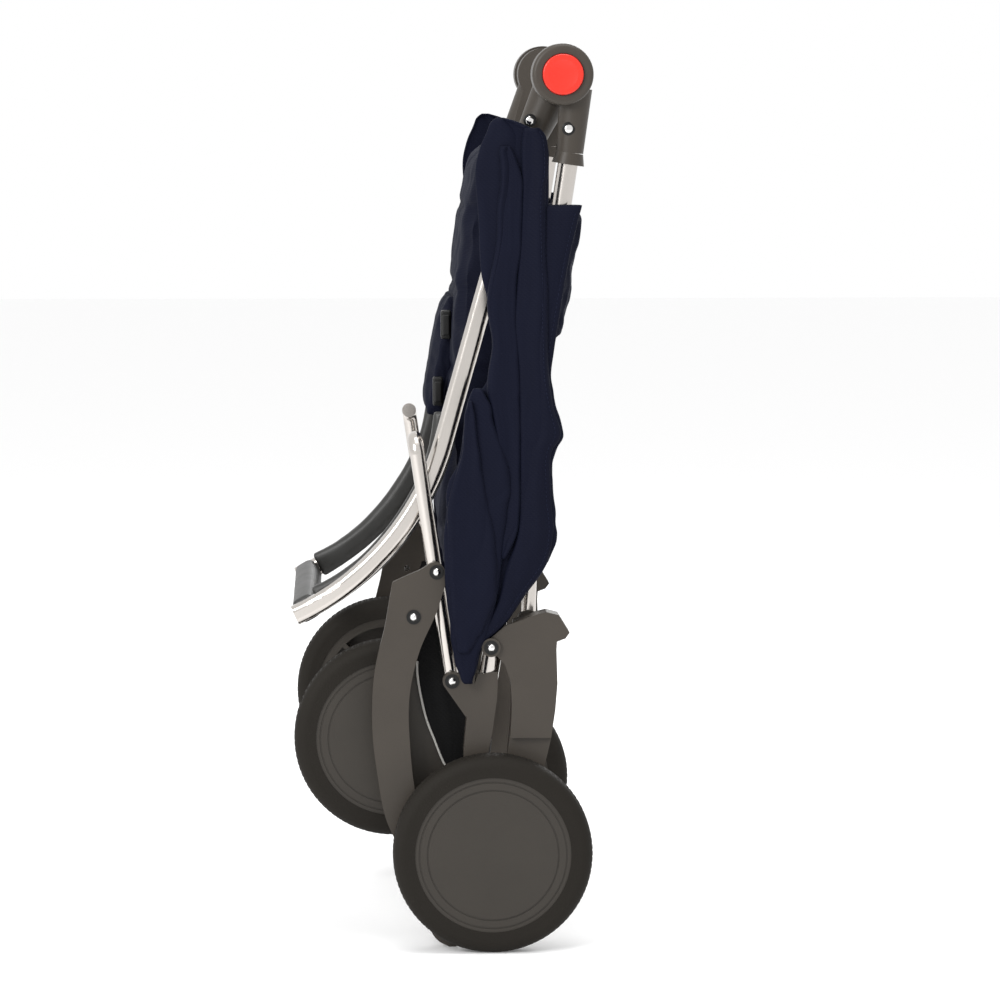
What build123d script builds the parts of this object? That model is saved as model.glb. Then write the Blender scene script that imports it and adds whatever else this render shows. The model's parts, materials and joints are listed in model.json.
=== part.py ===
from build123d import *
import math
import os

# Folded stroller, millimetres. +X is the rear, -X the front, +Z up, and the object is symmetric
# about the plane Y = 0. Points in the side view are (x, z) from the rear axle and the ground, and a
# "reach" is a distance from the middle plane towards either side. The model is moved to the centre
# of its box at the end.

# Wheels
WHEEL_R = 95.0
WHEEL_WIDTH = 36.0
DISC_R = 74.5
DISC_GROOVE_R = 63.2
GROOVE_WIDTH = 1.6
GROOVE_DEPTH = 0.8
DISC_SET_BACK = 1.2
AXLE_R = 6.0
RUNNING_GAP = 0.05
AXLE_BLIND = 7.0
RIM_INNER_R = 66.0
HUB_R = 17.0
HUB_POCKET = 20.0
SPOKES = 8
SPOKE_WIDTH = 5.0
REAR_WHEEL_REACH = 214.0
FRONT_WHEEL_REACH = 149.0
REAR_AXLE = (0.0, WHEEL_R)
FRONT_AXLE = (-94.0, 198.0)

# Main tubes, joined by two cross tubes
TUBE_R = 9.5
TUBE_WALL = 1.6
TUBE_REACH = 200.0
TUBE_FOOT = (-9.0, 221.0)
TUBE_HEAD = (76.6, 776.0)
CROSS_TUBE_R = 7.5
FRONT_CROSS_Z = 291.0
UPPER_CROSS_Z = 640.0

# Top hinge
HINGE = (66.5, 834.0)
HOUSING_R = 29.0
ARM_HOUSING_R = 27.0
HOUSING_INNER = 189.0
HOUSING_OUTER = 228.0
ARM_HOUSING_INNER = 151.0
HINGE_GAP = 1.0
SOCKET_R = 15.5
COLLAR_R = 14.5
COLLAR_LENGTH = 11.0
SOCKET_DEPTH = 27.0
SOCKET_TOP_LEAN = 3.5
SOCKET_TOP_RISE = 45.0
BOLT_R = 5.0
BOLT_HEAD_R = 11.0
BUTTON_R = 19.2
BUTTON_POCKET_R = 20.0
BUTTON_POCKET = 11.0
BUTTON_TRAVEL = 4.0
BUTTON_PROUD = 4.0
BUTTON_DISH = 1.6

# Handle
ARM_REACH = 165.0
ARM_WIDTH = 18.0
ARM_DEPTH = 19.0
ARM_CORNER = 6.0
ARM_END_WALL = 2.0
ARM_TOP = (41.7, 791.4)
ARM_BEND = (-44.7, 483.1)
ARM_ARC_R = 262.0
ARM_ARC_DEG = 46.6
PAD_THICKNESS = 14.0
PAD_DEPTH = 27.0
GRIP_DEPTH = 26.0
GRIP_WIDTH = 24.0
PAD_CORNER = 5.0
SOFT_GAP = 0.3
JOINT_LINE = 0.05

# Seat hoop and leg plates
HOOP_R = 7.2
HOOP_REACH = 196.5
HOOP_PIVOT = (-38.0, 257.0)
HOOP_TOP = (-70.5, 474.0)
HOOP_TURN_R = 13.0
HOOP_TURN_IN = 5.5
PLATE_PIVOT = (-52.6, 362.0)
PLATE_RIVET = (-74.6, 319.0)
PLATE_INNER = 204.0
PLATE_OUTER = 212.0
FOOT_BAR_R = 9.0
FOOT_FLAT = 0.5
FOOT_BAR = (-38.0, FOOT_BAR_R - FOOT_FLAT)

# Castings and rear legs
CASTING_INNER = 189.3
EAR_R = 9.0
REAR_EAR_OUTER = 222.0
REAR_LEG_FACE = 210.6
REAR_LEG_STEP = 218.0
REAR_PIN = (-1.0, 290.5)
REAR_PIVOT_Z = 560.0
REAR_TUBE_R = 7.0
REAR_TUBE_REACH = 180.0
REAR_TUBE_FOOT = (36.0, 312.0)
PIVOT_PIN_R = 3.0
PIN_HEAD_R = 4.3
PIN_HEAD_HEIGHT = 2.4
WASHER_R = 6.9
WASHER_HEIGHT = 0.9

# Front wheel brackets
BRACKET_INNER = 130.0
BRACKET_OUTER = 143.0
BRACKET_R = 14.0

# Fabric
BUNDLE_REACH = 139.0
PANEL_INNER = 213.5
PANEL_OUTER = 221.0
CANOPY_REACH = 212.0
BASKET_INNER = 186.4
BASKET_OUTER = 189.0
STRAP_REACH = 55.0

SIDES = {"near": -1, "far": 1}


def tube_axis_x(z):
    """X of the main tube's axis at height z."""
    share = (z - TUBE_FOOT[1]) / (TUBE_HEAD[1] - TUBE_FOOT[1])
    return TUBE_FOOT[0] + share * (TUBE_HEAD[0] - TUBE_FOOT[0])


REAR_PIVOT = (tube_axis_x(REAR_PIVOT_Z), REAR_PIVOT_Z)
FRONT_CROSS = (tube_axis_x(FRONT_CROSS_Z), FRONT_CROSS_Z)
UPPER_CROSS = (tube_axis_x(UPPER_CROSS_Z), UPPER_CROSS_Z)
BUNDLE_SEAT = UPPER_CROSS[0] - CROSS_TUBE_R - SOFT_GAP
TUBE_BACK = TUBE_R * math.dist(TUBE_FOOT, TUBE_HEAD) / (TUBE_HEAD[1] - TUBE_FOOT[1])


def prism(outline, inner, outer, side):
    """Side-view outline made a plate between two reaches on one side."""
    wire = Polyline(*[(x, 0, z) for x, z in outline], close=True)
    face = make_face(wire)
    solid = extrude(face, amount=outer - inner, dir=(0, 1, 0))
    start = inner if side > 0 else -outer
    return Pos(0, start, 0) * solid


def rod(centre, radius, inner, outer, side):
    """Cylinder along Y between two reaches on one side."""
    middle = side * (inner + outer) / 2
    return Pos(centre[0], middle, centre[1]) * Rot(90, 0, 0) * Cylinder(radius, outer - inner)


def cross_rod(centre, radius, reach):
    """Cylinder along Y from one side to the other."""
    return Pos(centre[0], 0, centre[1]) * Rot(90, 0, 0) * Cylinder(radius, 2 * reach)


def bar(start, end, radius, reach, end_radius=None):
    """Round bar or cone between two side-view points."""
    length = math.dist(start, end)
    top = radius if end_radius is None else end_radius
    plane = Plane(origin=(start[0], reach, start[1]), z_dir=(end[0] - start[0], 0, end[1] - start[1]))
    return plane * Pos(0, 0, length / 2) * Cone(radius, top, length) if top != radius else (
        plane * Pos(0, 0, length / 2) * Cylinder(radius, length))


def along(start, end, distance):
    """Point at a distance from start towards end."""
    length = math.dist(start, end)
    return tuple(a + (b - a) * distance / length for a, b in zip(start, end))


def smooth_outline(points, inner, outer, side):
    """Plate with a closed spline outline."""
    curve = Spline(*[(x, 0, z) for x, z in points], periodic=True)
    solid = extrude(make_face(curve), amount=outer - inner, dir=(0, 1, 0))
    start = inner if side > 0 else -outer
    return Pos(0, start, 0) * solid


BELOW_FLOOR = Pos(FOOT_BAR[0], 0, -FOOT_BAR_R) * Box(10 * FOOT_BAR_R, 3 * PLATE_OUTER, 2 * FOOT_BAR_R)


# ---- wheels


def tyre_profile():
    """Half section of the tyre: x is the radius, y is across the width."""
    half = WHEEL_WIDTH / 2
    shoulder = 11.0
    with_shoulder = Polyline((DISC_R, -half), (WHEEL_R - shoulder, -half))
    corner_low = RadiusArc((WHEEL_R - shoulder, -half), (WHEEL_R, -half + shoulder), -shoulder)
    tread = Line((WHEEL_R, -half + shoulder), (WHEEL_R, half - shoulder))
    corner_high = RadiusArc((WHEEL_R, half - shoulder), (WHEEL_R - shoulder, half), -shoulder)
    back = Polyline((WHEEL_R - shoulder, half), (DISC_R, half), (DISC_R, -half))
    return make_face(Wire([*with_shoulder.edges(), corner_low.edge(), tread.edge(),
                           corner_high.edge(), *back.edges()]))


def wheel_parts():
    """Tyre and wheel disc about the Z axis, the outer face up for the far side."""
    tyre = revolve(Plane.XZ * tyre_profile(), Axis.Z)
    thickness = WHEEL_WIDTH - 2 * DISC_SET_BACK
    disc = Cylinder(DISC_R, thickness)
    face_z = thickness / 2
    for radius in (DISC_R - 3.5, DISC_GROOVE_R):
        ring = Cylinder(radius, GROOVE_DEPTH) - Cylinder(radius - GROOVE_WIDTH, GROOVE_DEPTH)
        disc -= Pos(0, 0, face_z - GROOVE_DEPTH / 2) * ring
    pocket = Cylinder(RIM_INNER_R, HUB_POCKET) - Cylinder(HUB_R, HUB_POCKET)
    for index in range(SPOKES):
        angle = 360 * index / SPOKES
        pocket -= Rot(0, 0, angle) * Pos(RIM_INNER_R / 2, 0, 0) * Box(RIM_INNER_R, SPOKE_WIDTH, HUB_POCKET)
    disc -= Pos(0, 0, -face_z + HUB_POCKET / 2) * pocket
    bore = Cylinder(AXLE_R + RUNNING_GAP, thickness - AXLE_BLIND)
    disc -= Pos(0, 0, -AXLE_BLIND / 2) * bore
    return tyre, disc


def place_wheel(shape, axle, reach, side):
    """Turn a wheel part so that its outer face looks outwards and move it to its axle."""
    turn = Rot(-90, 0, 0) if side > 0 else Rot(90, 0, 0)
    return Pos(axle[0], side * (reach + WHEEL_WIDTH / 2), axle[1]) * turn * shape


# ---- pins


def pin_and_washer(centre, inner, face, side):
    """Domed pin through a plate and its black washer on the plate's outer face."""
    shaft = rod(centre, PIVOT_PIN_R, inner, face + WASHER_HEIGHT, side)
    dome = Pos(centre[0], side * (face + WASHER_HEIGHT), centre[1]) * Sphere(PIN_HEAD_R)
    keep = rod(centre, PIN_HEAD_R, face + WASHER_HEIGHT, face + WASHER_HEIGHT + PIN_HEAD_R, side)
    head = Pos(0, side * -(PIN_HEAD_R - PIN_HEAD_HEIGHT), 0) * dome & keep
    washer = rod(centre, WASHER_R, face, face + WASHER_HEIGHT, side)
    washer -= rod(centre, PIVOT_PIN_R, face, face + WASHER_HEIGHT, side)
    return shaft + head, washer


def pin_hole(centre, radius, side):
    """Long cutter for a pin's hole."""
    return rod(centre, radius, 100, 260, side)


# ---- handle path


def arc_point(angle, offset=0.0):
    """Point of the grip arc at an angle from the bend, offset outwards from its centre."""
    dx = ARM_BEND[0] - ARM_TOP[0]
    dz = ARM_BEND[1] - ARM_TOP[1]
    length = math.hypot(dx, dz)
    forward = (dx / length, dz / length)
    inward = (forward[1], -forward[0])
    centre = (ARM_BEND[0] + inward[0] * ARM_ARC_R, ARM_BEND[1] + inward[1] * ARM_ARC_R)
    turn = math.radians(angle)
    radius = ARM_ARC_R + offset
    rel = (-inward[0] * math.cos(turn) + forward[0] * math.sin(turn),
           -inward[1] * math.cos(turn) + forward[1] * math.sin(turn))
    return centre[0] + radius * rel[0], centre[1] + radius * rel[1]


def arc_edge(start, end, reach, offset=0.0):
    """Piece of the grip arc in the side plane at a reach."""
    points = [arc_point(angle, offset) for angle in (start, (start + end) / 2, end)]
    return ThreePointArc(*[(x, reach, z) for x, z in points])


def swept_section(path, width, depth, corner):
    """Rounded rectangle swept along a path that lies in a side plane."""
    start = path @ 0
    plane = Plane(origin=start, x_dir=(0, 1, 0), z_dir=path % 0)
    return sweep(plane * RectangleRounded(width, depth, corner), path=path)


GRIP_ANGLE = ARM_ARC_DEG - math.degrees(ARM_DEPTH / 2 / ARM_ARC_R)
ARM_END_ANGLE = GRIP_ANGLE + math.degrees(GRIP_WIDTH / ARM_ARC_R)
BORE_END_ANGLE = ARM_END_ANGLE - math.degrees(ARM_END_WALL / ARM_ARC_R)

# ---- side-view outlines

CASTING = [(6.0, 266.0), (5.0, 240.0), (0.0, 205.0), (-6.0, 175.0), (-12.0, 150.0), (-26.0, 150.0),
           (-27.0, 190.0), (-24.5, 219.0), (-21.0, 240.0), (-13.5, 264.0)]
CASTING_EAR = [(-44.0, 250.0), (-24.5, 222.0), (-18.0, 240.0), (-16.0, 262.0), (-40.0, 265.8)]
REAR_LEG = [(20.5, 314.5), (42.0, 321.5), (52.0, 324.0), (63.5, 321.0), (74.0, 304.0), (70.0, 298.5),
            (62.0, 295.5), (61.5, 288.0), (62.5, 255.0), (60.5, 230.0), (56.5, 200.0), (47.0, 160.0),
            (34.0, 126.0), (18.0, 80.0), (-14.0, 80.0), (-14.0, 108.0), (4.0, 145.0), (15.0, 185.0),
            (18.0, 215.0), (19.0, 240.0), (17.5, 262.0), (16.0, 285.0)]
REAR_LEG_WEB = [(-1.0, 299.5), (12.0, 310.5), (42.0, 321.5), (52.0, 324.0), (63.5, 321.0),
                (74.0, 304.0), (70.0, 298.5), (62.0, 295.5), (61.5, 288.0), (62.5, 255.0),
                (60.5, 230.0), (56.5, 203.0), (17.5, 203.0), (19.0, 235.0), (17.5, 258.0),
                (12.0, 274.0), (4.0, 282.5)]
LEG_PLATE = [(-93.5, 353.0), (-87.0, 356.0), (-77.0, 360.5), (-66.0, 365.5), (-53.0, 371.5), (-44.0, 362.0), (-45.5, 346.0),
             (-54.5, 319.0), (-65.0, 296.5), (-74.5, 267.0), (-79.0, 240.0), (-78.5, 198.0),
             (-75.0, 160.0), (-66.0, 110.0), (-50.0, 55.0), (-28.0, 14.0), (-33.0, 2.0), (-45.0, 2.0),
             (-66.0, 40.0), (-85.0, 90.0), (-100.0, 120.0), (-108.5, 160.0), (-113.5, 198.0),
             (-114.5, 232.0), (-110.5, 275.0), (-101.5, 313.0),
             (-97.5, 337.0), (-95.5, 348.5)]
PANEL = [(10.0, 794.0), (24.0, 791.0), (40.0, 778.0), (50.0, 757.0), (53.0, 711.0), (85.5, 710.0),
         (77.0, 664.0), (67.5, 608.0), (56.5, 552.0), (69.5, 491.0), (59.0, 470.0), (62.0, 389.0),
         (52.0, 363.0), (36.0, 341.0), (12.0, 314.0), (-12.0, 305.0), (-14.0, 270.0), (-23.0, 254.5),
         (-32.0, 262.0), (-42.0, 320.0), (-45.0, 363.0), (-50.0, 428.0), (-38.0, 483.0),
         (-27.0, 532.0), (-4.0, 637.0), (-29.0, 628.0), (-31.0, 650.0), (-23.0, 695.0),
         (-16.0, 754.0), (-9.0, 774.0)]
BUNDLE = [(12.0, 784.0), (-8.0, 764.0), (-18.0, 700.0), (-26.0, 640.0), (-30.0, 560.0),
          (-38.0, 480.0), (-42.0, 400.0), (-34.0, 332.0), (-12.0, 312.0), (12.0, 312.0),
          (34.0, 345.0), (44.0, 400.0), (44.0, 470.0), (34.0, 552.0), (BUNDLE_SEAT, 626.0),
          (BUNDLE_SEAT, 654.0), (42.0, 690.0),
          (38.0, 770.0)]
CANOPY_BACK = [(86.0, 710.0), (77.5, 664.0), (68.0, 608.0), (60.0, 578.0)]
CANOPY_FRONT = [(TUBE_BACK + SOFT_GAP + tube_axis_x(z), z) for z in (578.0, 709.0)]
CANOPY = CANOPY_BACK + CANOPY_FRONT
SLEEVE = [(tube_axis_x(z) + dx, z) for dx, z in ((-6.0, 380.0), (6.0, 380.0), (6.0, 690.0), (-6.0, 690.0))]
BASKET = [(-60.0, 328.0), (-47.0, 328.0), (-32.0, 250.0), (-12.0, 215.0), (-16.0, 160.0),
          (-38.0, 163.0), (-46.0, 176.0), (-54.6, 196.0), (-64.6, 224.0), (-72.0, 266.0)]
STRAP = [(-38.5, 619.0), (-27.5, 619.0), (-29.8, 574.0), (-31.0, 556.0), (-36.5, 500.0),
         (-60.5, 498.0), (-54.0, 540.0), (-46.0, 585.0)]

parts = {}

# ---- symmetric pairs
for name, side in SIDES.items():
    reach = side * TUBE_REACH
    tube = bar(TUBE_FOOT, TUBE_HEAD, TUBE_R, reach)
    tube_core = bar(TUBE_FOOT, TUBE_HEAD, TUBE_R - TUBE_WALL, reach)
    hinge_bolt_hole = rod(HINGE, BOLT_R, 120, HOUSING_OUTER, side)

    # foot casting: a body round the tube's end, with the hoop's ear outboard of the hoop
    body = prism(CASTING, CASTING_INNER, PLATE_OUTER, side)
    ear = prism(CASTING_EAR, PLATE_INNER, PLATE_OUTER, side)
    ear += rod(HOOP_PIVOT, EAR_R, PLATE_INNER, PLATE_OUTER, side)
    casting = body + ear - tube - pin_hole(HOOP_PIVOT, PIVOT_PIN_R, side)
    parts[f"foot_casting_{name}"] = casting

    # outer hinge housing with the tube socket, its collar and the button's pocket
    disc = rod(HINGE, HOUSING_R, HOUSING_INNER, HOUSING_OUTER, side)
    disc = fillet(disc.edges().filter_by(GeomType.CIRCLE).sort_by(Axis.Y)[-1 if side > 0 else 0], 4.0)
    collar_start = along(TUBE_HEAD, TUBE_FOOT, SOCKET_DEPTH)
    collar_end = along(TUBE_HEAD, TUBE_FOOT, SOCKET_DEPTH - COLLAR_LENGTH)
    socket_top = (TUBE_HEAD[0] + SOCKET_TOP_LEAN, TUBE_HEAD[1] + SOCKET_TOP_RISE)
    socket = bar(collar_end, socket_top, COLLAR_R - 1.5, reach, SOCKET_R)
    collar = bar(collar_start, collar_end, COLLAR_R + 1.0, reach, COLLAR_R - 1.5)
    housing = disc + socket + collar - tube - hinge_bolt_hole
    housing -= rod(HINGE, 200, 100, HOUSING_INNER, side)
    pocket_floor = HOUSING_OUTER - BUTTON_POCKET
    housing -= rod(HINGE, BUTTON_POCKET_R, pocket_floor, HOUSING_OUTER + 5, side)
    parts[f"hinge_housing_{name}"] = housing
    parts[f"main_tube_{name}"] = tube - tube_core - rod(REAR_PIVOT, PIVOT_PIN_R, 150, 250, side)

    # red release button: a guide rim in the pocket and a dished cap that stands proud of it
    rim = rod(HINGE, BUTTON_POCKET_R - RUNNING_GAP, pocket_floor + BUTTON_TRAVEL + 1.0,
              pocket_floor + BUTTON_TRAVEL + 3.5, side)
    cap = rod(HINGE, BUTTON_R, pocket_floor + BUTTON_TRAVEL + 3.5, HOUSING_OUTER + BUTTON_PROUD, side)
    cap = fillet(cap.edges().filter_by(GeomType.CIRCLE).sort_by(Axis.Y)[-1 if side > 0 else 0], 1.5)
    dish_r = (14.0 ** 2 + BUTTON_DISH ** 2) / (2 * BUTTON_DISH)
    dish_y = side * (HOUSING_OUTER + BUTTON_PROUD - BUTTON_DISH + dish_r)
    parts[f"release_button_{name}"] = rim + cap - Pos(HINGE[0], dish_y, HINGE[1]) * Sphere(dish_r)

    # handle arm housing on the same hinge
    arm_outer = HOUSING_INNER - HINGE_GAP
    arm_housing = rod(HINGE, ARM_HOUSING_R, ARM_HOUSING_INNER, arm_outer, side)
    socket_foot = along(ARM_TOP, ARM_BEND, 28.0)
    arm_housing += bar(HINGE, socket_foot, 21.0, side * ARM_REACH, 14.0)
    arm_housing &= rod(HINGE, 200, ARM_HOUSING_INNER, arm_outer, side)
    arm_line = Line((ARM_TOP[0], side * ARM_REACH, ARM_TOP[1]), (ARM_BEND[0], side * ARM_REACH, ARM_BEND[1]))
    arm_path = Wire([arm_line.edge(), arc_edge(0, ARM_END_ANGLE, side * ARM_REACH).edge()])
    arm = swept_section(arm_path, ARM_WIDTH, ARM_DEPTH, ARM_CORNER)
    bore_path = Wire([arm_line.edge(), arc_edge(0, BORE_END_ANGLE, side * ARM_REACH).edge()])
    arm_bore = swept_section(bore_path, ARM_WIDTH - 4, ARM_DEPTH - 4, ARM_CORNER - 2)
    parts[f"handle_arm_{name}"] = arm - arm_bore
    bore_hole = rod(HINGE, BOLT_R + RUNNING_GAP, 120, 260, side)
    parts[f"arm_housing_{name}"] = arm_housing - arm - bore_hole

    # hinge bolt: its head lies on the inner side of the arm housing
    bolt = rod(HINGE, BOLT_R, ARM_HOUSING_INNER - SOFT_GAP, pocket_floor, side)
    bolt += rod(HINGE, BOLT_HEAD_R, ARM_HOUSING_INNER - SOFT_GAP - 5.0, ARM_HOUSING_INNER - SOFT_GAP, side)
    parts[f"hinge_bolt_{name}"] = bolt

    # dark pad on the inner side of the curved arm
    pad_inner = ARM_REACH - ARM_WIDTH / 2 - PAD_THICKNESS
    pad_path = arc_edge(-6, GRIP_ANGLE, side * (pad_inner + PAD_THICKNESS / 2))
    parts[f"grip_pad_{name}"] = swept_section(pad_path, PAD_THICKNESS, PAD_DEPTH, PAD_CORNER)

    # seat hoop side tube: up from its pivot, its top end turned inwards
    inner_turn = HOOP_REACH - HOOP_TURN_R
    hoop_line = Line((HOOP_PIVOT[0], side * HOOP_REACH, HOOP_PIVOT[1]),
                     (HOOP_TOP[0], side * HOOP_REACH, HOOP_TOP[1]))
    up = hoop_line % 1
    corner = Vector(HOOP_TOP[0], side * inner_turn, HOOP_TOP[1]) + up * HOOP_TURN_R
    halfway = Vector(HOOP_TOP[0], side * inner_turn, HOOP_TOP[1]) + (
        up + Vector(0, side, 0)) * (HOOP_TURN_R * math.sqrt(0.5))
    hoop_turn = ThreePointArc(hoop_line @ 1, halfway, corner)
    turned_in = Line(corner, corner - Vector(0, side * HOOP_TURN_IN, 0))
    hoop_path = Wire([hoop_line.edge(), hoop_turn.edge(), turned_in.edge()])
    hoop_plane = Plane(origin=hoop_line @ 0, z_dir=hoop_line % 0)
    hoop = sweep(hoop_plane * Circle(HOOP_R), path=hoop_path)
    hoop += rod(HOOP_PIVOT, HOOP_R, HOOP_REACH - HOOP_R, HOOP_REACH + HOOP_R, side)
    hoop -= rod(HOOP_PIVOT, PIVOT_PIN_R + RUNNING_GAP, 150, 250, side)
    hoop -= rod(PLATE_PIVOT, PIVOT_PIN_R + RUNNING_GAP, 150, 250, side)
    parts[f"hoop_tube_{name}"] = hoop

    # leg plate: hangs from the hoop and curves back under the rear wheel's cover
    plate = smooth_outline(LEG_PLATE, PLATE_INNER, PLATE_OUTER, side)
    plate += rod(FOOT_BAR, FOOT_BAR_R, PLATE_INNER, PLATE_OUTER, side)
    plate -= pin_hole(PLATE_PIVOT, PIVOT_PIN_R, side) + pin_hole(PLATE_RIVET, PIVOT_PIN_R, side)
    plate -= BELOW_FLOOR
    parts[f"leg_plate_{name}"] = plate

    # rear leg casting with its hook, and the tube that carries it from the pivot above
    leg = prism(REAR_LEG, HOUSING_INNER + 1, REAR_LEG_FACE + 0.4, side)
    web = prism(REAR_LEG_WEB, REAR_LEG_FACE, REAR_LEG_STEP, side)
    pin_ear = rod(REAR_PIN, EAR_R, REAR_LEG_FACE, REAR_EAR_OUTER, side)
    boss = rod(REAR_TUBE_FOOT, REAR_TUBE_R + 3.5, REAR_TUBE_REACH - REAR_TUBE_R, HOUSING_INNER + 1, side)
    rear_tube = bar(along(REAR_TUBE_FOOT, REAR_PIVOT, -4.0), REAR_PIVOT, REAR_TUBE_R,
                    side * REAR_TUBE_REACH)
    rear_tube += rod(REAR_PIVOT, REAR_TUBE_R + 2, REAR_TUBE_REACH - REAR_TUBE_R - 0.5,
                     REAR_TUBE_REACH + REAR_TUBE_R + 0.5, side)
    rear_tube -= rod(REAR_PIVOT, PIVOT_PIN_R + RUNNING_GAP, 150, 250, side)
    axle_hole = rod(REAR_AXLE, AXLE_R, 150, 260, side)
    casting_b = leg + web + pin_ear + boss - rear_tube - axle_hole - pin_hole(REAR_PIN, PIVOT_PIN_R, side)
    parts[f"rear_leg_casting_{name}"] = casting_b
    parts[f"rear_leg_tube_{name}"] = rear_tube
    bolt_in = REAR_TUBE_REACH - REAR_TUBE_R - 2.5
    rear_bolt = rod(REAR_PIVOT, PIVOT_PIN_R, bolt_in, TUBE_REACH + TUBE_R, side)
    rear_bolt += rod(REAR_PIVOT, PIVOT_PIN_R + 3, bolt_in - 2.5, bolt_in, side)
    parts[f"rear_pivot_bolt_{name}"] = rear_bolt

    # axles: the rear one in the casting, the front one in its bracket
    rear_end = REAR_WHEEL_REACH + WHEEL_WIDTH - DISC_SET_BACK - AXLE_BLIND - 1.5
    parts[f"rear_axle_pin_{name}"] = rod(REAR_AXLE, AXLE_R, HOUSING_INNER + 1, rear_end, side)
    front_end = FRONT_WHEEL_REACH + WHEEL_WIDTH - DISC_SET_BACK - AXLE_BLIND - 1.5
    parts[f"front_axle_pin_{name}"] = rod(FRONT_AXLE, AXLE_R, BRACKET_INNER, front_end, side)
    web_plate = prism([
        (FRONT_CROSS[0] + 2, FRONT_CROSS[1] + 13), (FRONT_CROSS[0] - 12, FRONT_CROSS[1] - 8),
        (FRONT_AXLE[0] + 8, FRONT_AXLE[1] - 12), (FRONT_AXLE[0] - 8, FRONT_AXLE[1] + 12)],
        BRACKET_INNER, BRACKET_OUTER, side)
    web_plate += rod(FRONT_CROSS, BRACKET_R, BRACKET_INNER, BRACKET_OUTER, side)
    web_plate += rod(FRONT_AXLE, BRACKET_R, BRACKET_INNER, BRACKET_OUTER, side)
    web_plate -= rod(FRONT_CROSS, CROSS_TUBE_R, 100, 200, side) + rod(FRONT_AXLE, AXLE_R, 100, 200, side)
    parts[f"front_wheel_bracket_{name}"] = web_plate

    # wheels
    tyre, wheel_disc = wheel_parts()
    for wheel, axle, wheel_reach in (("rear", REAR_AXLE, REAR_WHEEL_REACH),
                                     ("front", FRONT_AXLE, FRONT_WHEEL_REACH)):
        parts[f"{wheel}_tyre_{name}"] = place_wheel(tyre, axle, wheel_reach, side)
        parts[f"{wheel}_wheel_disc_{name}"] = place_wheel(wheel_disc, axle, wheel_reach, side)

    # fabric over the tubes, and the basket's side
    sleeve = prism(SLEEVE, TUBE_REACH + TUBE_R + SOFT_GAP, PANEL_INNER, side)
    parts[f"side_panel_{name}"] = prism(PANEL, PANEL_INNER, PANEL_OUTER, side) + sleeve
    parts[f"basket_side_{name}"] = prism(BASKET, BASKET_INNER, BASKET_OUTER, side)

# ---- pieces across the middle plane
tubes = [bar(TUBE_FOOT, TUBE_HEAD, TUBE_R, side * TUBE_REACH) for side in SIDES.values()]
for name, place in (("front_cross_tube", FRONT_CROSS), ("upper_cross_tube", UPPER_CROSS)):
    cross = cross_rod(place, CROSS_TUBE_R, TUBE_REACH) - cross_rod(place, CROSS_TUBE_R - TUBE_WALL, TUBE_REACH)
    parts[name] = cross - tubes[0] - tubes[1]

grip_reach = ARM_REACH - ARM_WIDTH / 2 - JOINT_LINE
arm_edge = arc_edge(0, GRIP_ANGLE, 0)
end_direction = arm_edge % 1
grip_tilt = math.degrees(math.atan2(-end_direction.Z, -end_direction.X))
grip = Box(GRIP_WIDTH, 2 * grip_reach, GRIP_DEPTH)
grip = fillet(grip.edges().filter_by(Axis.Y), PAD_CORNER)
grip_centre = arm_edge @ 1 + end_direction * (GRIP_WIDTH / 2 + JOINT_LINE)
parts["grip_bar"] = Pos(grip_centre.X, 0, grip_centre.Z) * Rot(0, -grip_tilt, 0) * grip
parts["foot_bar"] = cross_rod(FOOT_BAR, FOOT_BAR_R, PLATE_INNER) - BELOW_FLOOR
inner_face = HOUSING_INNER + 1
rear_tube_wall = cross_rod(REAR_AXLE, CROSS_TUBE_R + 1, inner_face)
parts["rear_axle_tube"] = rear_tube_wall - cross_rod(REAR_AXLE, CROSS_TUBE_R - TUBE_WALL, inner_face)

parts["seat_bundle"] = prism(BUNDLE, 0, BUNDLE_REACH, 1) + prism(BUNDLE, 0, BUNDLE_REACH, -1)
parts["canopy_fold"] = prism(CANOPY, 0, CANOPY_REACH, 1) + prism(CANOPY, 0, CANOPY_REACH, -1)
parts["harness_pad"] = prism(STRAP, 0, STRAP_REACH, 1) + prism(STRAP, 0, STRAP_REACH, -1)

# ---- pins and washers, grouped by the body that they are fixed in
groups = {
    "frame_pins": ("frame_washers", [(HOOP_PIVOT, HOOP_REACH - HOOP_R, PLATE_OUTER)]),
    "rear_leg_pins": ("rear_leg_washers", [(REAR_PIN, REAR_LEG_FACE, REAR_EAR_OUTER)]),
    "leg_plate_pins": ("leg_plate_washers", [(PLATE_PIVOT, HOOP_REACH - HOOP_R, PLATE_OUTER),
                                             (PLATE_RIVET, PLATE_INNER, PLATE_OUTER)]),
}
for pins_name, (washers_name, places) in groups.items():
    pins = []
    washers = []
    for side in SIDES.values():
        for centre, inner, face in places:
            pin, washer = pin_and_washer(centre, inner, face, side)
            pins.append(pin.solid())
            washers.append(washer.solid())
    parts[pins_name] = Compound(pins)
    parts[washers_name] = Compound(washers)

# ---- origin at the centre of the bottom of the whole box
boxes = [shape.bounding_box() for shape in parts.values()]
low_x = min(box.min.X for box in boxes)
high_x = max(box.max.X for box in boxes)
centre_x = (low_x + high_x) / 2
os.makedirs("parts", exist_ok=True)
for name, shape in parts.items():
    export_step(Pos(-centre_x, 0, 0) * shape, f"parts/{name}.step")
print(f"{len(parts)} nodes, rear axle at x = {-centre_x:.3f}")
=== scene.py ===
"""Dresses the folded stroller: fabric, grips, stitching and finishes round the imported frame."""

import json
import logging
import math
from dataclasses import dataclass, field
from enum import Enum
from typing import Callable, Sequence

import bmesh
import bpy
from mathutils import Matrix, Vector, noise

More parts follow.
